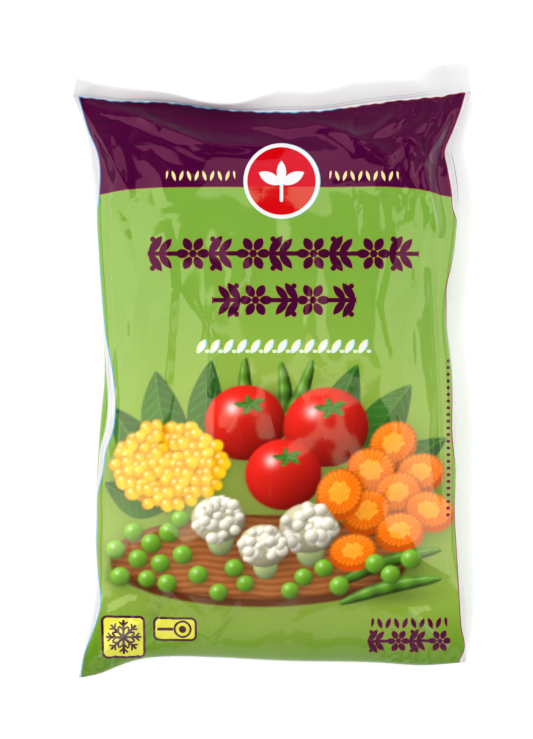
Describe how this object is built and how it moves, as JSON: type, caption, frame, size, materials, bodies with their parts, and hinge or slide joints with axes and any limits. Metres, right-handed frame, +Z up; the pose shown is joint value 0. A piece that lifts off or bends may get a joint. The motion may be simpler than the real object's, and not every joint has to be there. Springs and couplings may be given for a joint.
{
  "type": "frozen vegetable bag",
  "caption": "Shut pillow bag of frozen vegetables lying on its back, printed side up, with a wavy top seal and its bottom seal folded under.",
  "frame": {"origin": "on the surface that the bag lies on, below the middle of its plan", "axes": "+X across the bag's width, +Y towards its top seal, +Z up through the printed front"},
  "size_m": [0.18, 0.2776, 0.0381],
  "materials": {
    "printed_film": "glossy printed plastic film, green with a dark purple band at the top and white edges"
  },
  "bodies": {
    "root": {"bag": "printed_film"}
  },
  "joints": []
}
